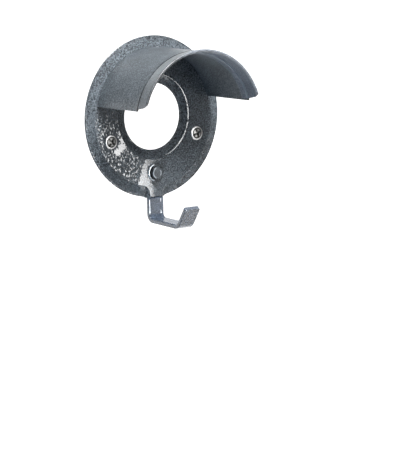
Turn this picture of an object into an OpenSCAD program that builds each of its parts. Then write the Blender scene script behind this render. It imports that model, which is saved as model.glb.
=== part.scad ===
/* [Back plate] */
// Outside diameter of the round back plate
plate_d = 110; // [100:1:130]
// Diameter of the hole in the middle of the plate
hole_d = 45.5; // [36:0.1:50]
// Thickness of the plate's pressed sheet
sheet_t = 1.2; // [1:0.1:1.5]
// Depth of the hollow behind the raised face
hollow_d = 1.8; // [1.5:0.1:2.5]
// Width of the narrow rim that seats on the wall, at the outside and round the hole
rim_w = 1.2; // [1:0.1:2]
// Width of the slope between the face and the outer rim
outer_slope_w = 5.8; // [4:0.1:6]
// Width of the slope between the face and the hole's rim
inner_slope_w = 4.7; // [3:0.1:5.5]
// Outside radius of the pressed bends between the face and its two slopes
press_r = 4; // [2:0.1:6]
// How far the pressed neck over the hook reaches below the plate
neck_drop = 0.2; // [0:0.1:3]
// Radius of the fillet between the neck and the rim
neck_fillet_r = 3; // [1:0.1:6]
// Radius along the neck's two sides
neck_side_r = 2.4; // [1.2:0.1:2.5]
// Radius along the neck's lower front edge
neck_edge_r = 1; // [0.3:0.1:1]

/* [Cradle] */
// How far the cradle stands in from the edge of the plate's flat face
cradle_inset = 0.1; // [0.1:0.1:5]
// Thickness of the cradle's sheet
cradle_t = 1.2; // [1:0.1:1.5]
// Height of the cradle's straight-cut ends above the plate's centre
cradle_end_z = 10.4; // [0:0.1:15]
// Distance from the wall to the cradle's front edge
cradle_l = 50; // [30:1:80]
// How far behind the cradle's front edge its flare starts
flare_l = 3; // [1:0.1:10]
// Angle at which the cradle's front and the lip flare outwards
flare_angle = 6; // [0:0.5:12]
// Angle from the tab at the top of the cradle to the tab on each side
tab_step = 55; // [40:1:60]
// Angle that one tab spans
tab_span = 16; // [10:1:20]
// How much a tab is pressed thinner than the cradle on each side, to enter its slot
tab_thin = 0.05; // [0.03:0.01:0.15]
// Length of a tab where it is folded over behind the plate
tab_fold_l = 7; // [4:0.1:10]

/* [Front lip] */
// Thickness of the lip's sheet
lip_t = 1; // [0.8:0.1:1.5]
// How far the lip's tail reaches back inside the cradle
lip_tail_l = 5; // [3:0.1:10]
// How far the lip stands out in front of the cradle
lip_w = 11.2; // [6:0.1:16]
// How far the lip's outside lies below the cradle's where the two meet
lip_set = 0.25; // [0.1:0.05:0.6]
// Diameter of the rolled bead along the lip's front edge
lip_bead_d = 2; // [1.6:0.1:3]
// How much higher the lip's ends start than the cradle's ends
lip_end_step = 1.3; // [0:0.1:5]
// How far the lip's ends rise towards the front edge
lip_end_rise = 2; // [0:0.1:6]
// Radius of the rounded corner at each end of the lip
lip_corner_r = 6; // [2:0.1:8]

/* [Hook] */
// Width of the hook's flat bar
bar_w = 12.4; // [10:0.1:15]
// Thickness of the hook's flat bar
bar_t = 3; // [2.5:0.1:4]
// Radius along the bar's long edges
bar_edge_r = 0.8; // [0.4:0.1:1.2]
// Straight length of the stem from the plate's neck down to the bend at its foot
stem_l = 11; // [5:0.1:40]
// How much the bar draws thinner on each side round its bends
bend_thin = 0.05; // [0.03:0.01:0.15]
// Inside radius of the bend at the foot of the stem
stem_bend_r = 3; // [2:0.1:5]
// Angle that the arm droops towards the front
arm_droop = 3; // [0:0.5:10]
// Straight length of the arm between its two bends
arm_l = 26.5; // [15:0.5:50]
// Inside radius of the bend under the tip
tip_bend_r = 4; // [2:0.1:8]
// Angle that the tip rises above level
tip_angle = 54; // [40:1:90]
// Straight length of the tip above its bend
tip_l = 13.5; // [7:0.1:20]
// Radius of the tip's two top corners
tip_corner_r = 1.7; // [1:0.1:5]

/* [Fasteners] */
// Diameter of the rivet's shank
rivet_d = 5; // [4:0.1:6]
// Diameter of the rivet's head
rivet_head_d = 9.4; // [8:0.1:11]
// Height of the rivet's head
rivet_head_h = 2.6; // [1.5:0.1:4]
// Radius round the edge of the rivet's head
rivet_edge_r = 1.1; // [0.5:0.1:1.4]
// Diameter of the rivet's closed tail, flush with the back of the hook
rivet_tail_d = 7.4; // [6.4:0.1:8]
// Diameter of the washer under the rivet's head
washer_d = 11.8; // [11.2:0.1:14]
// Thickness of the washer
washer_t = 0.8; // [0.6:0.1:1.5]
// Angle of the two wall screws below the plate's centre, on the middle of the flat face
screw_angle = 22.1; // [0:0.1:50]
// Diameter over a wall screw's thread
screw_d = 5; // [4:0.1:5.5]
// Diameter of a wall screw's countersunk head
screw_head_d = 9.6; // [8:0.1:10.5]
// Depth of the straight edge round the screw's head
screw_rim_h = 0.65; // [0.2:0.05:0.7]
// Height of the screw's domed top above the plate's face
screw_dome_h = 0.8; // [0.4:0.1:1.5]
// Length of a wall screw from the plate's face to its point
screw_l = 20; // [16:1:60]
// Length of the screw's point
screw_point_l = 6; // [4:0.5:7]

/* [Clearances] */
// Gap all round between pieces that slot together
fit = 0.1; // [0.05:0.01:0.3]
// Gap between a fastener's shank and its hole
hole_fit = 0.25; // [0.1:0.01:0.5]

/* [Hidden] */
$fn = 96;
paint = [0.40, 0.44, 0.52];
zinc = [0.78, 0.76, 0.72];

plate_r = plate_d / 2;
hole_r = hole_d / 2;
face_d = hollow_d + sheet_t;
face_out_r = plate_r - rim_w - outer_slope_w;
face_in_r = hole_r + rim_w + inner_slope_w;
inner_slope = atan2(hollow_d, inner_slope_w);
outer_slope = atan2(hollow_d, outer_slope_w);
flat_in_r = face_in_r + press_r * tan(inner_slope / 2);
flat_out_r = face_out_r - press_r * tan(outer_slope / 2);
press_steps = 6;
fixing_r = (face_in_r + face_out_r) / 2;
rivet_drop = fixing_r;
screw_span = 2 * fixing_r * cos(screw_angle);
screw_drop = fixing_r * sin(screw_angle);
neck_end = plate_r + neck_drop;
neck_l = neck_end - flat_out_r + sheet_t;
tang_w = bar_w - 2 * bar_edge_r;
stem_top = neck_end + fit;
tip_turn = arm_droop + tip_angle;
tab_angles = [90 - tab_step, 90, 90 + tab_step];
cradle_r = flat_out_r - cradle_inset;
cradle_in_r = cradle_r - cradle_t;
cradle_mid_r = cradle_r - cradle_t / 2;
flare_from = cradle_l - flare_l;
lip_lap_r = cradle_in_r - fit - lip_t / 2;
lip_mid_r = cradle_r - lip_set - lip_t / 2;
lip_front = cradle_l + lip_w;
lip_end_z = cradle_end_z + lip_end_step;
tab_t = cradle_t - 2 * tab_thin;
slot_w = tab_t + 2 * fit;
slot_span = tab_span + 2 * asin(fit / cradle_in_r);
seat_r = screw_head_d / 2 + fit;
screw_hole_r = screw_d / 2 + hole_fit;
bend_lap = 0.5;
edge_lap = 0.02;

// Places children about the plate's axis: x to the right, y up, z out from the wall
module on_wall() {
    translate([0, 0, screw_drop])
        rotate([90, 0, 0])
            children();
}

// Turns a side view, with x out from the wall and y up, to face across the plate
module from_side() {
    rotate([0, -90, 0])
        children();
}

// Section of bent sheet along its middle line, with round bends and edges
module sheet_run(points, thickness) {
    for (point = points)
        translate(point)
            circle(d = thickness);
    for (i = [0 : len(points) - 2]) {
        step = points[i + 1] - points[i];
        translate(points[i])
            rotate(atan2(step.y, step.x))
                translate([0, -thickness / 2])
                    square([norm(step), thickness]);
    }
}

// Points along an arc, in the steps that a pressed bend is drawn with
function arc(centre, radius, from, to) = [
    for (i = [0 : press_steps])
        let (angle = from + (to - from) * i / press_steps)
            centre + radius * [cos(angle), sin(angle)]
];

// Line of the raised face with its two bends, from the hole outwards, at a depth below the front
function face_line(depth) = concat(
    arc([flat_in_r, face_d - press_r], press_r - depth, 90 + inner_slope, 90),
    arc([flat_out_r, face_d - press_r], press_r - depth, 90, 90 - outer_slope)
);

// Half section of the pressed plate, from the hole out to the rim
module plate_section() {
    edge_r = sheet_t / 2;
    rim_from = hole_r + edge_r;
    rim_to = plate_r - edge_r;
    back = face_line(sheet_t);
    last = len(back) - 1;
    polygon(concat(
        [[rim_from, 0], [rim_from, sheet_t], [hole_r + rim_w, sheet_t]],
        face_line(0),
        [[plate_r - rim_w, sheet_t], [rim_to, sheet_t], [rim_to, 0]],
        [[back[last].x + back[last].y / tan(outer_slope), 0]],
        [for (i = [last : -1 : 0]) back[i]],
        [[back[0].x - back[0].y / tan(inner_slope), 0]]
    ));
    for (x = [rim_from, rim_to])
        translate([x, edge_r])
            circle(r = edge_r);
}

// What rounding takes off a level front edge: the edge runs along x, with its piece above it
module edge_waste(width, radius) {
    rotate([90, 0, 90])
        linear_extrude(width, center = true)
            difference() {
                translate([-fit, edge_lap - radius])
                    square(radius + fit);
                translate([radius, edge_lap - radius])
                    circle(r = radius);
            }
}

// Pressed neck that carries the face over the hook's tang and out past the rim
module neck() {
    front = face_d - edge_lap;
    half_w = tang_w / 2 + fit;
    side_w = half_w + sheet_t;
    flat_w = side_w - neck_side_r;
    fillet_x = side_w + neck_fillet_r;
    fillet_y = sqrt(pow(plate_r + neck_fillet_r, 2) - pow(fillet_x, 2));
    difference() {
        translate([0, neck_l - neck_end, 0])
            rotate([90, 0, 0])
                linear_extrude(neck_l) {
                    translate([-flat_w, 0])
                        square([2 * flat_w, front]);
                    translate([-side_w, 0])
                        square([2 * side_w, front - neck_side_r]);
                    intersection() {
                        for (side = [-1, 1])
                            translate([side * flat_w, front - neck_side_r])
                                circle(r = neck_side_r);
                        translate([-plate_r, 0])
                            square([plate_d, face_d]);
                    }
                }
        translate([0, -neck_end, front])
            edge_waste(3 * side_w, neck_edge_r);
    }
    for (side = [0, 1])
        mirror([side, 0, 0])
            linear_extrude(sheet_t)
                difference() {
                    translate([half_w, -neck_end])
                        square([fillet_x - half_w, neck_l]);
                    translate([fillet_x, -fillet_y])
                        circle(r = neck_fillet_r);
                }
}

// Outline of the hook's tang, with its round end about the rivet
module tang_outline(gap = 0) {
    translate([-tang_w / 2 - gap, -neck_end - bar_t])
        square([tang_w + 2 * gap, neck_end + bar_t - rivet_drop]);
    translate([0, -rivet_drop])
        circle(r = tang_w / 2 + gap);
}

// Ring sector about the plate's axis, for a tab or its slot
module sector(angle, span) {
    rotate([0, 0, angle - span / 2])
        rotate_extrude(angle = span)
            children();
}

// Cone and hole that seat a countersunk wall screw, from the face to the wall
module screw_seat() {
    cone_h = seat_r - screw_hole_r;
    translate([0, 0, face_d - screw_rim_h - cone_h])
        cylinder(r1 = screw_hole_r, r2 = seat_r, h = cone_h);
    translate([0, 0, face_d - screw_rim_h])
        cylinder(r = seat_r, h = face_d);
    translate([0, 0, -face_d])
        cylinder(r = screw_hole_r, h = 2 * face_d);
}

module back_plate() {
    color(paint)
        on_wall()
            difference() {
                union() {
                    rotate_extrude()
                        plate_section();
                    neck();
                    for (side = [-1, 1])
                        translate([side * screw_span / 2, -screw_drop, 0])
                            cylinder(r1 = screw_hole_r + sheet_t, r2 = seat_r + sheet_t, h = hollow_d);
                }
                translate([0, 0, hollow_d - face_d])
                    linear_extrude(face_d)
                        tang_outline(fit);
                translate([0, -rivet_drop, 0])
                    cylinder(d = rivet_d + 2 * fit, h = 2 * face_d);
                for (angle = tab_angles)
                    sector(angle, slot_span)
                        translate([cradle_mid_r - slot_w / 2, 0])
                            square([slot_w, 2 * face_d]);
                for (side = [-1, 1])
                    translate([side * screw_span / 2, -screw_drop, 0])
                        screw_seat();
            }
}

// How far the flare has risen outwards at a distance out from the wall
function flare_at(out) = max(0, out - flare_from) * tan(flare_angle);

// Half section of the cradle, from the plate's face to its flared front edge
module cradle_section() {
    rise = flare_at(cradle_l);
    polygon([
        [cradle_in_r, face_d],
        [cradle_in_r, flare_from],
        [cradle_in_r + rise, cradle_l],
        [cradle_r + rise, cradle_l],
        [cradle_r, flare_from],
        [cradle_r, face_d]
    ]);
}

module cradle() {
    color(paint)
        on_wall() {
            intersection() {
                rotate_extrude(angle = 180)
                    cradle_section();
                translate([-plate_r, cradle_end_z, 0])
                    cube([plate_d, plate_d, lip_front]);
            }
            for (angle = tab_angles)
                sector(angle, tab_span)
                    sheet_run([
                        [cradle_mid_r, face_d + cradle_t],
                        [cradle_mid_r, hollow_d - tab_t / 2],
                        [cradle_mid_r - tab_fold_l, hollow_d - tab_t / 2]
                    ], tab_t);
        }
}

// Half section of the lip: a tail inside the cradle, a step out past its edge, a flare and a rolled bead
module lip_section() {
    joint = cradle_l + fit + lip_t / 2;
    bead_out = lip_front - lip_bead_d / 2;
    bead = [lip_mid_r + flare_at(bead_out), bead_out];
    sheet_run([
        [lip_lap_r, cradle_l - lip_tail_l + lip_t / 2],
        [lip_lap_r, flare_from],
        [lip_lap_r + flare_at(joint), joint],
        [lip_mid_r + flare_at(joint), joint],
        bead
    ], lip_t);
    translate(bead)
        circle(d = lip_bead_d);
}

// Side outline of the lip, with slanted ends and a rounded corner, x out from the wall
module lip_outline() {
    slant = atan2(lip_end_rise, lip_w);
    front = lip_front + fit;
    corner_x = front - lip_corner_r;
    corner = [corner_x, lip_end_z + (corner_x - cradle_l) * tan(slant) + lip_corner_r / cos(slant)];
    polygon([
        [cradle_l - lip_tail_l, lip_end_z],
        [cradle_l, lip_end_z],
        corner + lip_corner_r * [sin(slant), -cos(slant)],
        corner,
        [front, corner.y],
        [front, plate_d],
        [cradle_l - lip_tail_l, plate_d]
    ]);
    translate(corner)
        circle(r = lip_corner_r);
}

module front_lip() {
    color(paint)
        on_wall()
            intersection() {
                rotate_extrude(angle = 180)
                    lip_section();
                from_side()
                    linear_extrude(2 * plate_d, center = true)
                        lip_outline();
            }
}

// Section of the hook's bar: x through its thickness, y across its width
module bar_section(thin = 0) {
    translate([bar_edge_r, thin - bar_w / 2])
        square([bar_t - 2 * bar_edge_r, bar_w - 2 * thin]);
    translate([thin, bar_edge_r - bar_w / 2])
        square([bar_t - 2 * thin, bar_w - 2 * bar_edge_r]);
    for (x = [bar_edge_r, bar_t - bar_edge_r], y = [-1, 1])
        translate([x, y * (bar_w / 2 - bar_edge_r)])
            circle(r = bar_edge_r - thin);
}

// Straight stretch of bar that runs down from the origin
module bar_run(length) {
    rotate([90, 0, 0])
        linear_extrude(length)
            bar_section();
}

// Bend of bar about the origin, a little way into the stretches that it joins
module bar_bend(radius, turn) {
    rotate([0, 0, 180 - bend_lap])
        rotate_extrude(angle = turn + 2 * bend_lap)
            translate([radius, 0])
                bar_section(bend_thin);
}

// Straight tip that runs down from the origin and ends in two rounded corners
module bar_tip() {
    cut_w = bar_w + 2 * fit;
    flat = cut_w - 2 * tip_corner_r;
    intersection() {
        bar_run(tip_l + fit);
        rotate([90, 0, -90])
            linear_extrude(3 * bar_t, center = true) {
                translate([-fit, -cut_w / 2])
                    square([tip_l + fit - tip_corner_r, cut_w]);
                translate([-fit, -flat / 2])
                    square([tip_l + fit, flat]);
                for (side = [-1, 1])
                    translate([tip_l - tip_corner_r, side * flat / 2])
                        circle(r = tip_corner_r);
            }
    }
}

// Bar of the hook from the stem's top down, along the arm and up to the tip
module hook_bar() {
    stem_turn = 90 - arm_droop;
    translate([0, -stem_top, 0])
        bar_run(stem_l);
    translate([bar_t + stem_bend_r, -stem_top - stem_l, 0]) {
        bar_bend(stem_bend_r, stem_turn);
        rotate([0, 0, stem_turn])
            translate([-bar_t - stem_bend_r, 0, 0]) {
                bar_run(arm_l);
                translate([bar_t + tip_bend_r, -arm_l, 0]) {
                    bar_bend(tip_bend_r, tip_turn);
                    rotate([0, 0, tip_turn])
                        translate([-bar_t - tip_bend_r, 0, 0])
                            bar_tip();
                }
            }
    }
}

module hook() {
    color(paint)
        on_wall() {
            difference() {
                linear_extrude(hollow_d)
                    tang_outline();
                translate([0, -rivet_drop, -hollow_d])
                    cylinder(d = rivet_d + 2 * fit, h = 3 * hollow_d);
                translate([0, -rivet_drop, 0])
                    rivet_tail(fit);
            }
            difference() {
                from_side()
                    hook_bar();
                translate([0, -stem_top, bar_t])
                    mirror([0, 1, 0])
                        edge_waste(2 * bar_w, bar_edge_r);
            }
        }
}

// Cone of the closed rivet tail, widest at the back of the hook
module rivet_tail(gap = 0) {
    cylinder(d1 = rivet_tail_d + 2 * gap, d2 = rivet_d + 2 * gap, h = (rivet_tail_d - rivet_d) / 2);
}

module hook_rivet() {
    head_from = face_d + washer_t;
    head_r = rivet_head_d / 2;
    color(paint)
        on_wall()
            translate([0, -rivet_drop, 0]) {
                rivet_tail();
                cylinder(d = rivet_d, h = head_from + rivet_head_h / 2);
                translate([0, 0, head_from])
                    rotate_extrude() {
                        square([head_r, rivet_head_h - rivet_edge_r]);
                        square([head_r - rivet_edge_r, rivet_head_h]);
                        translate([head_r - rivet_edge_r, rivet_head_h - rivet_edge_r])
                            circle(r = rivet_edge_r);
                    }
            }
}

module rivet_washer() {
    bore_r = rivet_d / 2 + fit;
    color(paint)
        on_wall()
            translate([0, -rivet_drop, face_d])
                rotate_extrude() {
                    translate([bore_r, 0])
                        square([(washer_d - washer_t) / 2 - bore_r, washer_t]);
                    translate([(washer_d - washer_t) / 2, washer_t / 2])
                        circle(d = washer_t);
                }
}

// Countersunk screw through the plate into the wall
module wall_screw(side) {
    head_r = screw_head_d / 2;
    thread_r = screw_d / 2;
    cone_from = face_d - screw_rim_h - head_r + thread_r;
    point_from = face_d - screw_l + screw_point_l;
    dome_r = (head_r * head_r + screw_dome_h * screw_dome_h) / (2 * screw_dome_h);
    color(zinc)
        translate([side * screw_span / 2, 0, 0])
            rotate([90, 0, 0])
                rotate_extrude() {
                    polygon([
                        [0, face_d - screw_l],
                        [thread_r, point_from],
                        [thread_r, cone_from],
                        [head_r, face_d - screw_rim_h],
                        [head_r, face_d],
                        [0, face_d]
                    ]);
                    intersection() {
                        translate([0, face_d + screw_dome_h - dome_r])
                            circle(r = dome_r);
                        translate([0, face_d])
                            square([head_r, screw_dome_h]);
                    }
                }
}

module wall_screw_left() {
    wall_screw(-1);
}

module wall_screw_right() {
    wall_screw(1);
}

back_plate();
cradle();
front_lip();
hook();
hook_rivet();
rivet_washer();
wall_screw_left();
wall_screw_right();
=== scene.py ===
import math

import bpy
from mathutils import Matrix, Vector


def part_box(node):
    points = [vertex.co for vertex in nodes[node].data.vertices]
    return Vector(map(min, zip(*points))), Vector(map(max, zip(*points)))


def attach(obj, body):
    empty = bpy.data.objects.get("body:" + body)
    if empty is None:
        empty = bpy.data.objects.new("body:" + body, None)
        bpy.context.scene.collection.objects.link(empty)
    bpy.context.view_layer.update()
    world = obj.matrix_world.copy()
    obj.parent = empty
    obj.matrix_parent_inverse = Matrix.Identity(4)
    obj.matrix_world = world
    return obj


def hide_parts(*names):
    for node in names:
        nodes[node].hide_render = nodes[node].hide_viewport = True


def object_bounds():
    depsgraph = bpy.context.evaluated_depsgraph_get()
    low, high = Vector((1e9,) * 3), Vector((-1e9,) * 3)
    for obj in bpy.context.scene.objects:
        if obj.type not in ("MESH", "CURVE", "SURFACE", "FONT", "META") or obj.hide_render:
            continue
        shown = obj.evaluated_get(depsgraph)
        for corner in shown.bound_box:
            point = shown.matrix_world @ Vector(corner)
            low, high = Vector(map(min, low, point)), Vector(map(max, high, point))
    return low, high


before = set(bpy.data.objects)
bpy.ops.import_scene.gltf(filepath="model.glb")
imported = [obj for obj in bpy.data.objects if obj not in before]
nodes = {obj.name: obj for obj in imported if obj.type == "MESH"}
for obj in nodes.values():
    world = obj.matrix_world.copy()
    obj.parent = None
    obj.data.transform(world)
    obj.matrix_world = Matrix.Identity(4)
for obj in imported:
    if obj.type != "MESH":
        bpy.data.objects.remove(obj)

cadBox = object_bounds()
mm = 0.001


def middle(node):
    low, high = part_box(node)
    return (low + high) / 2


def halfWidth(node):
    low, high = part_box(node)
    return (high.x - low.x) / 2


def link(name, data):
    made = bpy.data.objects.new(name, data)
    bpy.context.scene.collection.objects.link(made)
    return made


plateLow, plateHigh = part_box("back_plate")
plateRadius = halfWidth("back_plate")
plateCentre = Vector((0, 0, plateHigh.z - plateRadius))
plateFront = plateLow.y
print("frame loaded, plate radius", round(plateRadius / mm, 2), "mm")


# Camera: where the rack was seen from, about the plate's centre on the wall

cameraPlan = {
    "yaw": 35.69,                # degrees round to the left of the plate
    "pitch": 7.76,               # degrees above level
    "roll": -1.61,
    "distance": 2725 * mm,
    "slideRight": 38.90 * mm,    # the picture's middle, from the plate's centre
    "slideUp": -76.96 * mm,
    "focalPixels": 4015.7,
    "framePixels": 459,          # the picture's long side
    "sensor": 36.0,
    "farthest": 50,
}


def placeCamera(plan):
    yaw = math.radians(plan["yaw"])
    pitch = math.radians(plan["pitch"])
    back = Vector((-math.sin(yaw) * math.cos(pitch), -math.cos(yaw) * math.cos(pitch), math.sin(pitch)))
    right = (-back).cross(Vector((0, 0, 1))).normalized()
    up = right.cross(-back)
    roll = Matrix.Rotation(math.radians(plan["roll"]), 3, back)
    right = roll @ right
    up = roll @ up
    lens = bpy.data.cameras.new("camera")
    lens.sensor_width = plan["sensor"]
    lens.lens = plan["focalPixels"] * plan["sensor"] / plan["framePixels"]
    lens.clip_end = plan["farthest"]
    camera = link("camera", lens)
    place = plateCentre + right * plan["slideRight"] + up * plan["slideUp"] + back * plan["distance"]
    turn = Matrix((right, up, back)).transposed().to_4x4()
    camera.matrix_world = Matrix.Translation(place) @ turn
    bpy.context.scene.camera = camera
    return place


cameraPlace = placeCamera(cameraPlan)
print("camera placed")


# Node trees: a wire adds and multiplies like a number, and every other node comes from one method

class Wire:
    def __init__(self, graph, socket):
        self.graph = graph
        self.socket = socket

    def maths(self, operation, *values):
        return self.graph.add("ShaderNodeMath", {"operation": operation}, dict(enumerate(values)))["Value"]

    def __add__(self, other):
        return self.maths("ADD", self, other)

    def __radd__(self, other):
        return self.maths("ADD", other, self)

    def __sub__(self, other):
        return self.maths("SUBTRACT", self, other)

    def __rsub__(self, other):
        return self.maths("SUBTRACT", other, self)

    def __mul__(self, other):
        return self.maths("MULTIPLY", self, other)

    def __truediv__(self, other):
        return self.maths("DIVIDE", self, other)

    def __neg__(self):
        return self.maths("MULTIPLY", self, -1)

    def __abs__(self):
        return self.maths("ABSOLUTE", self)

    def atMost(self, other):
        return self.maths("MINIMUM", self, other)

    def atLeast(self, other):
        return self.maths("MAXIMUM", self, other)

    def ramp(self, low, high):   # 0 at low, 1 at high, smooth between
        return self.graph.add("ShaderNodeMapRange", {"interpolation_type": "SMOOTHSTEP"},
                              {"Value": self, "From Min": low, "From Max": high})["Result"]

    def band(self, width):       # 1 round zero, and 0 from the width outwards on both sides
        return 1 - abs(self).ramp(width / 2, width)


class Graph:
    def __init__(self, tree):
        self.tree = tree

    def add(self, kind, settings=None, inputs=None):
        made = self.tree.nodes.new(kind)
        for name, value in (settings or {}).items():
            setattr(made, name, value)
        for name, value in (inputs or {}).items():
            self.feed(self.socket(made, name), value)
        return {out.name: Wire(self, out) for out in made.outputs if out.enabled}

    def socket(self, made, name):
        if isinstance(name, int):
            return made.inputs[name]
        return next(one for one in made.inputs if one.name == name and one.enabled)

    def feed(self, socket, value):
        if isinstance(value, Wire):
            self.tree.links.new(value.socket, socket)
        else:
            socket.default_value = value


class Finish(Graph):
    def __init__(self, name):
        self.material = bpy.data.materials.new(name)
        self.material.use_nodes = True
        super().__init__(self.material.node_tree)
        self.shader = self.tree.nodes["Principled BSDF"]
        self.result = self.tree.nodes["Material Output"].inputs["Surface"]
        self.place = self.add("ShaderNodeTexCoord")["Object"]

    def vector(self, operation, *values):
        return self.add("ShaderNodeVectorMath", {"operation": operation}, dict(enumerate(values)))

    def noise(self, size, detail=2.0, roughness=0.5, tall=1.0):   # one blob's width, and its height to width
        place = self.vector("MULTIPLY", self.place, (1, 1, 1 / tall))["Vector"]
        return self.add("ShaderNodeTexNoise", {}, {
            "Vector": place, "Scale": 1 / size, "Detail": detail, "Roughness": roughness})["Fac"]

    def axis(self, name):
        return self.add("ShaderNodeSeparateXYZ", {}, {0: self.place})[name]

    def rise(self, node):        # height above the node's foot, as a share of its own height
        low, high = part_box(node)
        return (self.axis("Z") - low.z) / (high.z - low.z)

    def fromAxis(self, point):   # distance from a line along Y through the point
        away = self.vector("SUBTRACT", self.place, point)["Vector"]
        flat = self.vector("MULTIPLY", away, (1, 0, 1))["Vector"]
        return self.vector("LENGTH", flat)["Value"]

    def fromScrews(self):        # distance from the nearer wall screw's axis
        left = self.fromAxis(middle("wall_screw_left"))
        return left.atMost(self.fromAxis(middle("wall_screw_right")))

    def blend(self, factor, first, second):
        inputs = {"Factor": factor, "A": first, "B": second}
        return self.add("ShaderNodeMix", {"data_type": "RGBA"}, inputs)["Result"]

    def bump(self, height, depth):
        return self.add("ShaderNodeBump", {}, {"Height": height, "Distance": depth})["Normal"]

    def surface(self, **values):
        for name, value in values.items():
            self.feed(self.shader.inputs[name.replace("_", " ")], value)


def coat(material, *names):
    for name in names:
        nodes[name].data.materials.clear()
        nodes[name].data.materials.append(material)


# Enamel: slate blue-grey paint with fine flake, in soft clouds. Each piece below adds its own marks

noiseMiddle = 0.5

enamelPlan = {
    "flakeDetail": 3.0,
    "flakeRoughness": 0.6,
    "lightShare": 0.35,          # of light paint, where both noises are at their middle
    "cloudDepth": 0.5,
}


def enamel(name, plan):
    finish = Finish(name)
    flake = finish.noise(plan["flake"], enamelPlan["flakeDetail"], enamelPlan["flakeRoughness"])
    cloud = finish.noise(plan["cloud"])
    grain = (flake - noiseMiddle) * plan["flakeDepth"]
    drift = (cloud - noiseMiddle) * enamelPlan["cloudDepth"]
    speckle = grain + enamelPlan["lightShare"] + drift
    finish.colour = finish.blend(speckle.atLeast(0).atMost(1), plan["dark"], plan["light"])
    finish.surface(
        Base_Color=finish.colour,
        Roughness=plan["matt"],
        Specular_IOR_Level=plan["specular"],
        Normal=finish.bump(flake, plan["dimple"]),
    )
    return finish


# Back plate: hammered, with glossy drops that ran together in places

platePlan = {
    "dark": (0.016, 0.019, 0.022, 1),
    "light": (0.092, 0.107, 0.121, 1),
    "flake": 0.95 * mm,
    "flakeDepth": 4.0,
    "cloud": 9 * mm,
    "matt": 0.5,
    "specular": 0.16,
    "dimple": 0.05 * mm,
    "blob": 1.05 * mm,
    "blobDetail": 1.0,
    "blobTall": 1.6,
    "blobEdge": (0.57, 0.65),
    "gloss": 0.07,
    "glossSpecular": 1.0,
    "runs": [                    # mm right and up of the centre, and radius
        (-27.8, -9, 0.2), (-26, -14, 0.9), (-26.8, -18.5, 1.4), (-30.3, -21.5, 1.2),
        (-2.2, -29.4, 0.8), (-6, -30.8, 1.0), (-8.3, -33.3, 0.8), (-9, -36.9, 1.0), (-9.4, -40.5, 1.8),
        (-12, -45.4, 1.2), (-8.8, -44.6, 3.2), (-5.0, -47.9, 1.7), (-3.6, -51.2, 0.8), (-3.0, -53.6, 0.6),
    ],
    "runEdge": 2.2 * mm,
    "runDepth": 0.36,
    "bendRadius": 28.8 * mm,     # the pressed bend round the hole
    "bendWidth": 2.4 * mm,
    "bendDepth": 0.20,
    "bendFade": 7.2 * mm,        # from the middle to the right
    "washerShade": (0.008, 0.009, 0.010, 1),
    "washerShadeReach": (0.3 * mm, 1.0 * mm),  # painted shade round the rivet's washer, on its right side
    "screwClear": (5.2 * mm, 6.6 * mm),  # no gloss nearer to a screw's middle than this
}


def glossyShare(finish, plan):
    blob = finish.noise(plan["blob"], plan["blobDetail"], tall=plan["blobTall"])
    onBend = (finish.fromAxis(plateCentre) - plan["bendRadius"]).band(plan["bendWidth"])
    smooth = onBend * finish.axis("X").ramp(0, plan["bendFade"]) * plan["bendDepth"]
    for right, up, radius in plan["runs"]:
        away = finish.fromAxis(plateCentre + Vector((right * mm, 0, up * mm)))
        run = 1 - away.ramp(radius * mm, radius * mm + plan["runEdge"])
        smooth = smooth.atLeast(run * plan["runDepth"])
    return (blob + smooth).ramp(*plan["blobEdge"]) * finish.fromScrews().ramp(*plan["screwClear"])


def plateEnamel(plan):
    finish = enamel("plateEnamel", plan)
    washerRadius = halfWidth("rivet_washer")
    fromWasher = finish.fromAxis(middle("rivet_washer")) - washerRadius
    onRight = finish.axis("X").ramp(0, washerRadius / 2)
    # painted shade: the plate is darkened round the washer's right side, where the raised rivet shades it
    washerShade = (1 - fromWasher.ramp(*plan["washerShadeReach"])) * onRight
    colour = finish.blend(washerShade, finish.colour, plan["washerShade"])
    finish.surface(Base_Color=colour)
    body = Wire(finish, finish.shader.outputs["BSDF"])
    pool = finish.add("ShaderNodeBsdfPrincipled", {}, {
        "Base Color": colour,
        "Roughness": plan["gloss"],
        "Specular IOR Level": plan["glossSpecular"],
    })["BSDF"]
    mixed = finish.add("ShaderNodeMixShader", {}, {0: glossyShare(finish, plan), 1: body, 2: pool})
    finish.feed(finish.result, mixed["Shader"])
    return finish.material


coat(plateEnamel(platePlan), "back_plate")


# Cradle: painted shade in the crease along its front edge, where the lip joins it; its enamel is a darker
# copy of the plate's, as painted shade

cradlePlan = {
    "dark": (0.014, 0.017, 0.020, 1),
    "light": (0.076, 0.089, 0.101, 1),
    "flake": 0.9 * mm,
    "flakeDepth": 4.5,
    "cloud": 12 * mm,
    "matt": 0.42,
    "specular": 0.35,
    "dimple": 0.04 * mm,
    "creaseShade": (0.006, 0.007, 0.008, 1),
    "creaseWidth": 0.8 * mm,
    "creaseRise": (0.2, 0.45),   # it fades upwards, as a share of the cradle's height
    "creaseFade": 0.55,
}


def cradleEnamel(plan):
    finish = enamel("cradleEnamel", plan)
    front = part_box("cradle")[0].y
    shown = 1 - finish.rise("cradle").ramp(*plan["creaseRise"]) * plan["creaseFade"]
    # painted shade along the crease at the cradle's front edge, weaker towards the top
    creaseShade = (finish.axis("Y") - front).band(plan["creaseWidth"]) * shown
    finish.surface(Base_Color=finish.blend(creaseShade, finish.colour, plan["creaseShade"]))
    return finish.material


coat(cradleEnamel(cradlePlan), "cradle")


# Front lip: painted light and shade, paler towards the top outside and lighter and bluer inside, with a
# painted light line where it steps out, a painted highlight along its inside edge near the top, and its bead
# shaded on the left and lit on the right

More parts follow.
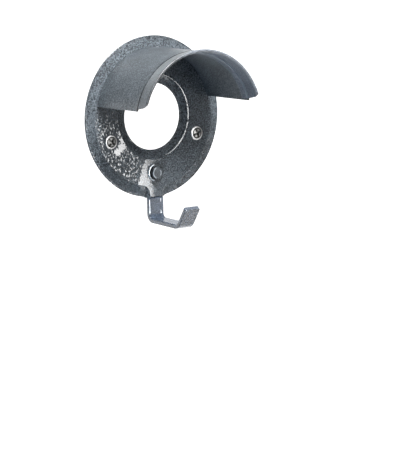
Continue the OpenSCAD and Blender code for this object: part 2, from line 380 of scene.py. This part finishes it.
lipPlan = {
    "dark": (0.014, 0.017, 0.020, 1),
    "light": (0.088, 0.104, 0.120, 1),
    "flake": 0.9 * mm,
    "flakeDepth": 4.5,
    "cloud": 12 * mm,
    "matt": 0.42,
    "specular": 0.42,
    "dimple": 0.04 * mm,
    "paintedHighlight": (0.30, 0.34, 0.38, 1),
    "highlightWidth": 0.9 * mm,        # painted highlight along the edge inside the cradle
    "highlightRise": (0.72, 0.95),     # and only near the top, as a share of the lip's height
    "flare": math.radians(6),
    "insideRadius": (46.3 * mm, 46.8 * mm),   # where the lip meets the cradle
    # painted light: the inside is lighter and bluer
    "insideLightTint": (0.084, 0.115, 0.171, 1),
    "insideLightShare": 0.25,
    # painted light and shade: the outside is darker low down and paler towards the top
    "outsideShadedLow": (0.022, 0.025, 0.028, 1),
    "outsideLitHigh": (0.140, 0.146, 0.146, 1),
    "outsideLightRise": (0.05, 0.6),
    "outsideLightShare": 0.34,
    # painted light on the small step inside, lightening its shadow
    "step": (0.15, 0.175, 0.20, 1),
    "stepDrop": 1.1 * mm,        # from the cradle's edge to the small step inside
    "stepWidth": 0.5 * mm,
    "beadShadedLeft": (0.020, 0.023, 0.026, 1),
    "beadLitRight": (0.080, 0.090, 0.104, 1),
    "beadTurn": (-24 * mm, -6 * mm),
    "beadWidth": 1.2 * mm,
}


def lipEnamel(plan):
    finish = enamel("lipEnamel", plan)
    low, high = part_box("front_lip")
    depth = finish.axis("Y")
    rise = finish.rise("front_lip")
    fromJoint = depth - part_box("cradle")[0].y
    level = finish.fromAxis(plateCentre) + fromJoint * math.tan(plan["flare"])
    inside = 1 - level.ramp(*plan["insideRadius"])
    # painted light and shade on both sides, then the painted highlight along the inside edge, painted light
    # on the step and the bead's painted light and shade over it
    paintedLightAndShade = finish.blend(rise.ramp(*plan["outsideLightRise"]), plan["outsideShadedLow"], plan["outsideLitHigh"])
    litOutside = finish.blend((1 - inside) * plan["outsideLightShare"], finish.colour, paintedLightAndShade)
    litInside = finish.blend(inside * plan["insideLightShare"], litOutside, plan["insideLightTint"])
    # a painted highlight along the lip's edge inside the cradle, near the top
    edge = (depth - high.y).band(plan["highlightWidth"]) * rise.ramp(*plan["highlightRise"])
    wearAndHighlight = finish.blend(edge, litInside, plan["paintedHighlight"])
    # painted light on the small step inside, lightening the shadow it casts
    onStep = (fromJoint + plan["stepDrop"]).band(plan["stepWidth"]) * inside
    stepLightened = finish.blend(onStep, wearAndHighlight, plan["step"])
    # painted light and shade on the bead: darker on the left, lighter on the right
    beadLightAndShade = finish.blend(finish.axis("X").ramp(*plan["beadTurn"]), plan["beadShadedLeft"], plan["beadLitRight"])
    onBead = (depth - low.y).band(plan["beadWidth"])
    finish.surface(Base_Color=finish.blend(onBead, stepLightened, beadLightAndShade))
    return finish.material


coat(lipEnamel(lipPlan), "front_lip")


# Hook: smoother, and bluer as painted light, with painted highlights along the stem's edges and at the tip's
# corners, and painted light on the tip's end

hookPlan = {
    # a bluer copy of the plate's enamel, as painted light
    "dark": (0.014, 0.018, 0.025, 1),
    "light": (0.059, 0.077, 0.108, 1),
    "flake": 0.95 * mm,
    "flakeDepth": 3.4,
    "cloud": 7 * mm,
    "matt": 0.26,
    "specular": 0.45,
    "dimple": 0.008 * mm,
    "paintedHighlight": (0.86, 0.89, 0.93, 1),
    "highlightInset": 0.75 * mm,       # from the bar's side to the middle of the painted highlight line
    "highlightInsetRight": 2.5 * mm,
    "highlightWidth": 0.45 * mm,
    "highlightFoot": 7 * mm,           # the stem's painted highlight starts here above the hook's foot
    "highlightLength": 10.5 * mm,
    "highlightRight": 3 * mm,          # on its right edge at both ends of that only
    "stemReach": (9 * mm, 7 * mm),   # the stem is what lies nearer to the wall than this
    "tipReach": (0.4 * mm, 1.1 * mm),    # and the tip's end corners this near to its front
    "tipCorner": 1.1 * mm,
    "tipHighlight": 0.13,
    "tipRise": math.radians(54),
    "tipEndLight": (0.044, 0.052, 0.065, 1),  # painted light on the end's face, lighter and even
    "tipEndEdge": (-0.7 * mm, -0.1 * mm),
}


def hookEnamel(plan):
    finish = enamel("hookEnamel", plan)
    low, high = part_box("hook")
    side = finish.axis("X")
    depth = finish.axis("Y")
    height = finish.axis("Z")

    def along(place, width):
        return 1 - abs(side - place).ramp(0, width)

    # two painted highlight lines down the stem, the right one at its ends only
    half = plan["highlightLength"] / 2
    fromMiddle = abs(height - (low.z + plan["highlightFoot"] + half))
    ends = fromMiddle.ramp(half - plan["highlightRight"], half - plan["highlightRight"] / 2)
    leftLine = along(low.x + plan["highlightInset"], plan["highlightWidth"])
    rightLine = along(high.x - plan["highlightInsetRight"], plan["highlightWidth"]) * ends
    stem = (1 - fromMiddle.ramp(half - plan["highlightWidth"], half)) * (-depth).ramp(*plan["stemReach"])
    # a painted highlight spot at each corner of the tip, and painted light on its end face
    leftCorner = along(low.x + plan["highlightInset"], plan["tipCorner"])
    rightCorner = along(high.x - plan["highlightInset"], plan["tipCorner"])
    nearFront = 1 - (depth - low.y).ramp(*plan["tipReach"])
    wearAndHighlight = leftCorner.atLeast(rightCorner) * nearFront * plan["tipHighlight"]
    outward = math.cos(plan["tipRise"])
    upward = math.sin(plan["tipRise"])
    end = max(spot.co.z * upward - spot.co.y * outward for spot in nodes["hook"].data.vertices)
    onEnd = (height * upward - depth * outward - end).ramp(*plan["tipEndEdge"])
    # painted light: the tip's end face is lighter and even
    endLightened = finish.blend(onEnd, finish.colour, plan["tipEndLight"])
    highlightShare = (leftLine.atLeast(rightLine) * stem).atLeast(wearAndHighlight)
    finish.surface(Base_Color=finish.blend(highlightShare, endLightened, plan["paintedHighlight"]))
    return finish.material


coat(hookEnamel(hookPlan), "hook")


# Rivet and washer: painted highlight arcs and painted shade arcs on either side

fixingPlan = {
    # a darker copy of the enamel, as painted shade
    "dark": (0.016, 0.019, 0.022, 1),
    "light": (0.056, 0.065, 0.074, 1),
    "flake": 0.85 * mm,
    "flakeDepth": 2.6,
    "cloud": 9 * mm,
    "matt": 0.24,
    "specular": 0.25,
    "dimple": 0.004 * mm,
    "paintedArcs": [                    # inset from the washer's edge, width, side (left is -1) and colour
        (0.35 * mm, 0.6 * mm, -1, (0.62, 0.65, 0.69, 1)),
        (1.05 * mm, 0.5 * mm, -1, (0.006, 0.007, 0.008, 1)),
        (2.1 * mm, 0.5 * mm, -1, (0.18, 0.20, 0.22, 1)),
        (3.6 * mm, 0.5 * mm, 1, (0.18, 0.20, 0.22, 1)),
        (1.4 * mm, 0.8 * mm, 1, (0.006, 0.007, 0.008, 1)),
    ],
    "arcFade": (0.15, 0.4),      # out from the middle, as shares of the washer's radius
}


def fixingEnamel(plan):
    finish = enamel("fixingEnamel", plan)
    edge = halfWidth("rivet_washer")
    away = finish.fromAxis(middle("rivet_washer"))
    fade = [edge * share for share in plan["arcFade"]]
    colour = finish.colour
    # painted highlights on the left edges and the head's right, painted shade in the gap on the left and
    # along the head's right border
    for inset, width, side, paintedLightAndShade in plan["paintedArcs"]:
        near = (away - (edge - inset)).band(width)
        colour = finish.blend(near * (finish.axis("X") * side).ramp(*fade), colour, paintedLightAndShade)
    finish.surface(Base_Color=colour)
    return finish.material


coat(fixingEnamel(fixingPlan), "hook_rivet", "rivet_washer")


# Bright zinc: silver with fine scratches and dull patches, a rubbed rim and a darker ring inside it

zincPlan = {
    "clean": (0.27, 0.268, 0.258, 1),
    "dull": (0.13, 0.130, 0.127, 1),
    "rim": (0.44, 0.44, 0.44, 1),
    "rimEdge": (3.6 * mm, 4.0 * mm),   # the head's rim is rubbed bright from here outwards
    "groove": (0.030, 0.030, 0.029, 1),
    "grooveRadius": 3.3 * mm,    # a darker ring inside the rim
    "grooveWidth": 0.5 * mm,
    "patch": 1.3 * mm,
    "patchDetail": 3.0,
    "patchRoughness": 0.6,
    "patchEdge": (0.40, 0.66),
    "scratch": 0.25 * mm,
    "scratchDepth": 0.010 * mm,
    "scratchDull": 0.12,
    "polished": 0.34,
    "wearAndHighlight": 0.42,
}


def brightZinc(plan):
    finish = Finish("brightZinc")
    patch = finish.noise(plan["patch"], plan["patchDetail"], plan["patchRoughness"]).ramp(*plan["patchEdge"])
    scratch = finish.noise(plan["scratch"])
    away = finish.fromScrews()
    rim = away.ramp(*plan["rimEdge"])
    groove = (away - plan["grooveRadius"]).band(plan["grooveWidth"])
    face = finish.blend(patch, plan["clean"], plan["dull"])
    darkRinged = finish.blend(groove, face, plan["groove"])
    dullness = plan["wearAndHighlight"] + rim * (plan["polished"] - plan["wearAndHighlight"])
    finish.surface(
        Base_Color=finish.blend(rim, darkRinged, plan["rim"]),
        Metallic=1.0,
        Roughness=dullness + (scratch - noiseMiddle) * plan["scratchDull"],
        Normal=finish.bump(scratch, plan["scratchDepth"]),
    )
    return finish.material


zinc = brightZinc(zincPlan)
coat(zinc, "wall_screw_left", "wall_screw_right")
print("finishes made")


# Neck: the raised face sweeps into the neck over the hook on a round corner, with a slope at each side.
# It is a thin closed skin over the plate, made on the right and mirrored

neckPlan = {
    "rim": 1.2 * mm,             # the plate's rim is as wide as it is high
    "slope": 5.8 * mm,
    "bend": 4 * mm,
    "flat": 4.3 * mm,            # half the width of the neck's flat
    "sweep": 7.5 * mm,           # radius of the corner, seen from the front
    "sideBend": 2.4 * mm,
    "sideAngle": math.radians(31),
    "plainAngle": math.radians(80),  # the neck's side on the plate itself
    "half": 6.7 * mm,            # half the neck's whole width
    "fade": 1.5 * mm,            # the sweep dies out this near to the plate's edge
    "endRound": 1 * mm,
    "reach": (11 * mm, 13 * mm),     # across from the neck's middle, and up from its end
    "cell": 0.25 * mm,
    "least": 0.01 * mm,          # thinner than this it is left to the plate
    "sunk": 0.5 * mm,
    "sharpAngle": math.radians(40),
}

neckEnd = plateCentre.z - plateLow.z


def pressedHeight(away, bend, angle):
    # height of a pressed side at a distance out from the flat face's edge
    turned = bend * math.sin(angle)
    along = min(max(away, 0), turned)
    past = max(away - turned, 0)
    return -plateFront - bend + math.sqrt(bend ** 2 - along ** 2) - past * math.tan(angle)


def neckHeights(plan, side, drop):
    # the plate's own height at a place right of the middle and below the centre, and the swept neck's
    slopeAngle = math.atan2(-plateFront - plan["rim"], plan["slope"])
    flatRadius = plateRadius - plan["rim"] - plan["slope"] - plan["bend"] * math.tan(slopeAngle / 2)
    across = plan["flat"] + plan["sweep"]
    down = math.sqrt((flatRadius + plan["sweep"]) ** 2 - across ** 2)
    fromFace = math.hypot(side, drop) - flatRadius
    fromNeck = side - plan["flat"]
    away = min(fromFace, fromNeck)
    if drop < down and side * down < across * drop:
        away = plan["sweep"] - math.hypot(side - across, drop - down)
    past = min(max(drop - neckEnd + plan["endRound"], 0), plan["endRound"])
    rounded = -plateFront - plan["endRound"] + math.sqrt(plan["endRound"] ** 2 - past ** 2)
    slope = max(pressedHeight(fromFace, plan["bend"], slopeAngle), plan["rim"])
    upright = pressedHeight(fromNeck, plan["sideBend"], plan["plainAngle"])
    plain = max(slope, min(upright, rounded))
    swept = min(pressedHeight(away, plan["sideBend"], plan["sideAngle"]), rounded)
    fromEdge = max(plateRadius - math.hypot(side, drop), plan["half"] - side)
    share = min(max(fromEdge / plan["fade"], 0), 1)
    return plain, plain + max(swept - plain, 0) * share


def cellCorners(column, row):
    return [(column, row), (column + 1, row), (column + 1, row + 1), (column, row + 1)]


def neckGrid(plan):
    # the front and back points of the skin at each grid corner, and the cells where it is thick enough
    wide, tall = (round(length / plan["cell"]) for length in plan["reach"])
    spots = {}
    rises = {}
    for column in range(wide + 1):
        for row in range(tall + 1):
            side = column * plan["cell"]
            drop = neckEnd - row * plan["cell"]
            plain, swept = neckHeights(plan, side, drop)
            height = plateCentre.z - drop
            spots[column, row] = ((side, -swept, height), (side, plan["sunk"] - plain, height))
            rises[column, row] = swept - plain
    kept = set()
    for column in range(wide):
        for row in range(tall):
            if max(rises[corner] for corner in cellCorners(column, row)) > plan["least"]:
                kept.add((column, row))
    return spots, kept


def neckSkin(spots, kept):
    points = []
    faces = []
    used = {}
    for column, row in sorted(kept):
        loop = []
        for corner in cellCorners(column, row):
            if corner not in used:
                used[corner] = len(points)
                points.extend(spots[corner])
            loop.append(used[corner])
        faces.append(loop)
        faces.append([spot + 1 for spot in reversed(loop)])
        nextTo = [(column, row - 1), (column + 1, row), (column, row + 1), (column - 1, row)]
        for turn, cell in enumerate(nextTo):
            if cell not in kept:
                first = loop[turn]
                second = loop[(turn + 1) % len(loop)]
                faces.append([second, first, first + 1, second + 1])
    return points, faces


def sweptNeck(plan, material):
    points, faces = neckSkin(*neckGrid(plan))
    mirrored = [(-x, y, z) for x, y, z in points]
    turned = [[spot + len(points) for spot in reversed(face)] for face in faces]
    mesh = bpy.data.meshes.new("neckSweep")
    mesh.from_pydata(points + mirrored, [], faces + turned)
    mesh.materials.append(material)
    mesh.shade_smooth()
    mesh.set_sharp_from_angle(angle=plan["sharpAngle"])
    piece = link("neckSweep", mesh)
    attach(piece, "root")
    return piece


neck = sweptNeck(neckPlan, nodes["back_plate"].data.materials[0])
print("neck swept,", len(neck.data.polygons), "faces")


# Wall screws: turned with a raised head and a thread, then a cross recess is cut and the pair set in place

screwPlan = {
    "headEdge": 0.9 * mm,        # width of the rounded edge round the head
    "headRim": 0.65 * mm,        # straight edge below the plate's face
    "core": 1.75 * mm,
    "thread": 2.5 * mm,
    "pitch": 2.4 * mm,
    "crest": 0.24,               # half width of the thread's ridge, as a share of the pitch
    "plain": 2.4 * mm,           # smooth neck under the head
    "point": 6 * mm,
    "around": 48,
    "domeRows": 8,
    "edgeRows": 6,
    "rowStep": 0.24 * mm,
    "recessSpan": 6.0 * mm,
    "recessWidth": 1.7 * mm,
    "recessDepth": 1.5 * mm,
    "recessTaper": 0.62,
    "recessTurn": math.radians(38),
    "turnStep": math.radians(31),    # how much further round the second screw was driven
    "sharpAngle": math.radians(35),
}


def screwRows(plan, headRadius, length, headHeight):
    # rows of (height, radius, share of thread) from the head's middle down to the point, face at height 0
    rows = []
    flat = headRadius - plan["headEdge"]
    dome = (headRadius ** 2 + headHeight ** 2) / (2 * headHeight)
    for step in range(1, plan["domeRows"] + 1):
        radius = flat * step / plan["domeRows"]
        rows.append((headHeight - dome + math.sqrt(dome ** 2 - radius ** 2), radius, 0))
    shoulder = rows[-1][0]
    for step in range(1, plan["edgeRows"] + 1):
        turn = math.pi / 2 * step / plan["edgeRows"]
        rows.append((shoulder * math.cos(turn), flat + plan["headEdge"] * math.sin(turn), 0))
    rows.append((-plan["headRim"], headRadius, 0))
    coneEnd = plan["headRim"] + headRadius - plan["core"]
    rows.append((-coneEnd, plan["core"], 0))
    count = round((length - coneEnd) / plan["rowStep"])
    for step in range(1, count):
        depth = coneEnd + (length - coneEnd) * step / count
        taper = min(1, (length - depth) / plan["point"])
        grown = min(1, max(0, depth - plan["plain"] - coneEnd) / plan["pitch"])
        rows.append((-depth, plan["core"] * taper, grown * taper))
    return rows


def turnScrew(plan, headRadius, length, headHeight):
    rows = screwRows(plan, headRadius, length, headHeight)
    ridge = plan["thread"] - plan["core"]
    points = [(0, 0, headHeight)]
    faces = []
    around = plan["around"]
    for height, radius, share in rows:
        for side in range(around):
            phase = (height / plan["pitch"] - side / around) % 1
            swell = max(0, 1 - abs(phase - 0.5) / plan["crest"]) * ridge * share
            angle = 2 * math.pi * side / around
            points.append(((radius + swell) * math.cos(angle), (radius + swell) * math.sin(angle), height))
    points.append((0, 0, -length))
    last = len(points) - 1
    bottom = last - around
    for side in range(around):
        after = (side + 1) % around
        faces.append((0, 1 + side, 1 + after))
        for upper in range(1, bottom, around):
            lower = upper + around
            faces.append((upper + side, lower + side, lower + after, upper + after))
        faces.append((last, bottom + after, bottom + side))
    mesh = bpy.data.meshes.new("turnedScrew")
    mesh.from_pydata(points, [], faces)
    return mesh


def screwTree(material, names):
    tree = bpy.data.node_groups.new("wallScrewPair", "GeometryNodeTree")
    tree.interface.new_socket("Geometry", in_out="INPUT", socket_type="NodeSocketGeometry")
    for name in names:
        tree.interface.new_socket(name, in_out="INPUT", socket_type="NodeSocketFloat")
    tree.interface.new_socket("Geometry", in_out="OUTPUT", socket_type="NodeSocketGeometry")
    graph = Graph(tree)
    given = graph.add("NodeGroupInput")

    def vector(x, y, z):
        return graph.add("ShaderNodeCombineXYZ", {}, {"X": x, "Y": y, "Z": z})["Vector"]

    def moved(geometry, **values):
        return graph.add("GeometryNodeTransform", {}, {"Geometry": geometry, **values})["Geometry"]

    # a square tapered pin, flattened to one wing of the cross and set twice at right angles
    corner = given["Recess Span"] * math.sqrt(0.5)
    pin = graph.add("GeometryNodeMeshCone", {}, {
        "Vertices": 4, "Radius Top": corner, "Radius Bottom": corner * given["Recess Taper"],
        "Depth": given["Recess Depth"] + given["Head Height"]})["Mesh"]
    square = moved(pin, Rotation=(0, 0, math.pi / 4), Translation=vector(0, 0, -given["Recess Depth"]))
    wing = moved(square, Scale=vector(1, given["Recess Width"] / given["Recess Span"], 1))
    cut = given["Geometry"]
    for cutter in (wing, moved(wing, Rotation=(0, 0, math.pi / 2))):
        cut = graph.add("GeometryNodeMeshBoolean", {"operation": "DIFFERENCE", "solver": "EXACT"}, {
            "Mesh 1": cut, "Mesh 2": cutter})["Mesh"]
    # the pair, each turned as far as it was driven
    pair = graph.add("GeometryNodeMeshLine", {"mode": "OFFSET"}, {
        "Count": 2, "Start Location": vector(given["First X"], given["Face Y"], 0),
        "Offset": vector(given["Spacing"], 0, 0)})["Mesh"]
    index = graph.add("GeometryNodeInputIndex")["Index"]
    driven = vector(0, given["Recess Turn"] + index * given["Turn Step"], 0)
    facing = moved(cut, Rotation=(math.pi / 2, 0, 0))
    placed = graph.add("GeometryNodeInstanceOnPoints", {}, {
        "Points": pair, "Instance": facing, "Rotation": driven})["Instances"]
    solid = graph.add("GeometryNodeRealizeInstances", {}, {"Geometry": placed})["Geometry"]
    dressed = graph.add("GeometryNodeSetMaterial", {}, {"Geometry": solid, "Material": material})["Geometry"]
    graph.add("NodeGroupOutput", {}, {"Geometry": dressed})
    return tree


def setInputs(modifier, values):
    for item in modifier.node_group.interface.items_tree:
        if item.item_type == "SOCKET" and item.in_out == "INPUT" and item.name in values:
            modifier[item.identifier] = values[item.name]


def settle(holder, name):
    # the evaluated shape as a plain mesh of its own, with no modifier left
    ready = holder.evaluated_get(bpy.context.evaluated_depsgraph_get())
    mesh = bpy.data.meshes.new_from_object(ready)
    bpy.data.objects.remove(holder)
    mesh.name = name
    return link(name, mesh)


def wallScrews(plan, material):
    leftLow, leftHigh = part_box("wall_screw_left")
    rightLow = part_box("wall_screw_right")[0]
    headRadius = halfWidth("wall_screw_left")
    headHeight = plateFront - leftLow.y
    values = {
        "First X": leftLow.x + headRadius,
        "Spacing": rightLow.x - leftLow.x,
        "Face Y": plateFront,
        "Head Height": headHeight,
        "Recess Span": plan["recessSpan"],
        "Recess Width": plan["recessWidth"],
        "Recess Depth": plan["recessDepth"],
        "Recess Taper": plan["recessTaper"],
        "Recess Turn": plan["recessTurn"],
        "Turn Step": plan["turnStep"],
    }
    holder = link("turnedScrew", turnScrew(plan, headRadius, leftHigh.y - plateFront, headHeight))
    modifier = holder.modifiers.new("wallScrewPair", "NODES")
    modifier.node_group = screwTree(material, values)
    setInputs(modifier, values)
    piece = settle(holder, "wallScrews")
    piece.data.shade_smooth()
    piece.data.set_sharp_from_angle(angle=plan["sharpAngle"])
    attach(piece, "root")
    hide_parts("wall_screw_left", "wall_screw_right")
    return piece


screws = wallScrews(screwPlan, zinc)
print("wall screws cut,", len(screws.data.polygons), "faces")


# Stage: a pale glowing floor that runs back from under the rack, and a dim room with a bright band behind it

stagePlan = {
    "floorDrop": 0.32,
    "floorReach": (-0.3, 9.0),   # along the view, from the rack
    "floorHalf": 1.6,
    "floorColour": (0.90, 0.90, 0.90, 1),
    "floorRoughness": 0.9,
    "floorGlow": 1.05,
    "room": 0.03,
    "band": 3.8,
    "sky": 0.9,
    "bandTurn": (-0.15, 0.3),    # how far round to the back the band goes from dim to bright
    "bandHeight": (0.10, 0.28),
    "skyHeight": (0.34, 0.60),
}


def layFloor(plan):
    mesh = bpy.data.meshes.new("floor")
    along = Vector((-cameraPlace.x, -cameraPlace.y, 0)).normalized()
    across = Vector((along.y, -along.x, 0)) * plan["floorHalf"]
    near, far = plan["floorReach"]
    level = Vector((0, 0, cadBox[0].z - plan["floorDrop"]))
    corners = [along * near - across, along * near + across, along * far + across, along * far - across]
    mesh.from_pydata([corner + level for corner in corners], [], [(0, 1, 2, 3)])
    floor = link("floor", mesh)
    finish = Finish("paleFloor")
    finish.surface(
        Base_Color=plan["floorColour"],
        Roughness=plan["floorRoughness"],
        Emission_Color=plan["floorColour"],
        Emission_Strength=plan["floorGlow"],
    )
    mesh.materials.append(finish.material)


def lightRoom(plan):
    world = bpy.data.worlds.new("room")
    bpy.context.scene.world = world
    world.use_nodes = True
    room = Graph(world.node_tree)
    shade = world.node_tree.nodes["Background"]
    shade.inputs["Color"].default_value = (1, 1, 1, 1)
    outward = room.add("ShaderNodeTexCoord")["Generated"]
    axes = room.add("ShaderNodeSeparateXYZ", {}, {0: outward})
    low = 1 - abs(axes["Z"]).ramp(*plan["bandHeight"])
    high = axes["Z"].ramp(*plan["skyHeight"])
    glow = plan["room"] + axes["Y"].ramp(*plan["bandTurn"]) * (low * plan["band"] + high * plan["sky"])
    seen = room.add("ShaderNodeLightPath")["Is Camera Ray"]
    room.feed(shade.inputs["Strength"], glow + seen * (1 - glow))


layFloor(stagePlan)
lightRoom(stagePlan)


# Lamps. "aim" is a point on the face, mm right and up of the plate's centre, and "from" the way to the lamp

lightPlan = [
    {"name": "roundLamp", "aim": (-64, -45), "mirrored": True, "reach": 1.0,
     "shape": "DISK", "size": 0.137, "radiance": 9.5},
    {"name": "tallWindow", "aim": (28, -8), "from": (0.32, -0.95, 0.02), "reach": 1.0,
     "shape": "RECTANGLE", "size": 0.30, "height": 0.48, "radiance": 8.5, "shineOnly": True},
    {"name": "keyLamp", "aim": (0, -20), "from": (-0.30, -0.85, 0.50), "reach": 1.0,
     "shape": "RECTANGLE", "size": 0.5, "height": 0.4, "radiance": 6.0},
    {"name": "lowFill", "aim": (0, -20), "from": (-0.75, -0.45, -0.48), "reach": 1.2,
     "shape": "RECTANGLE", "size": 0.8, "height": 0.8, "radiance": 1.0, "tint": (0.45, 1.0, 1.6)},
    {"name": "topSoftbox", "aim": (0, -40), "from": (-0.06, -0.53, 0.84), "reach": 1.1,
     "shape": "RECTANGLE", "size": 0.5, "height": 0.4, "radiance": 140.0, "spread": 50},
]


def hangLamp(plan):
    target = plateCentre + Vector((plan["aim"][0] * mm, plateFront, plan["aim"][1] * mm))
    if plan.get("mirrored"):     # where the flat face mirrors it to the camera
        seen = (cameraPlace - target).normalized()
        away = Vector((-seen.x, seen.y, -seen.z))
    else:
        away = Vector(plan["from"]).normalized()
    lamp = bpy.data.lights.new(plan["name"], "AREA")
    lamp.shape = plan["shape"]
    lamp.size = plan["size"]
    area = math.pi * (plan["size"] / 2) ** 2
    if plan["shape"] == "RECTANGLE":
        lamp.size_y = plan["height"]
        area = plan["size"] * plan["height"]
    lamp.energy = plan["radiance"] * math.pi * area
    lamp.color = plan.get("tint", (1, 1, 1))
    if "spread" in plan:         # a narrower cone has the same brightness along its middle
        lamp.spread = math.radians(plan["spread"])
        half = lamp.spread / 2
        lamp.energy *= 1 - half / math.tan(half)
    holder = link(plan["name"], lamp)
    holder.location = target + away * plan["reach"]
    holder.rotation_euler = (-away).to_track_quat("-Z", "Y").to_euler()
    holder.visible_camera = False
    holder.visible_diffuse = not plan.get("shineOnly")


for lampPlan in lightPlan:
    hangLamp(lampPlan)
bpy.context.scene.view_settings.view_transform = "Standard"
print("stage lit")
